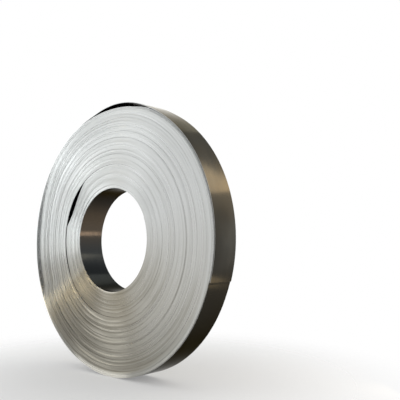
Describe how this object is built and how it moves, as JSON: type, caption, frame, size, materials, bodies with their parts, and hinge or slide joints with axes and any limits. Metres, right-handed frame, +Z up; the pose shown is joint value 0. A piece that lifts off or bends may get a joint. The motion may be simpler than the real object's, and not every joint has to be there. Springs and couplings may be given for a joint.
{
  "type": "slit steel strip coil",
  "caption": "Coil of slit steel strip standing on its rim, one turned solid with an open bore, turns stepped on both ends, a slack gap and a sprung tail.",
  "frame": {"origin": "middle of the bore, on the coil's axis and half way along the strip's width", "axes": "+Y along the coil's axis from the front end to the back end, +X across the ends, +Z up; the coil stands on its rim"},
  "size_m": [1.3294, 0.1489, 1.3389],
  "materials": {
    "strip_steel": "cold-rolled, satin on the slit edges and mirror-like on the rim and in the bore"
  },
  "bodies": {
    "root": {"steel_coil": "strip_steel"}
  },
  "joints": []
}
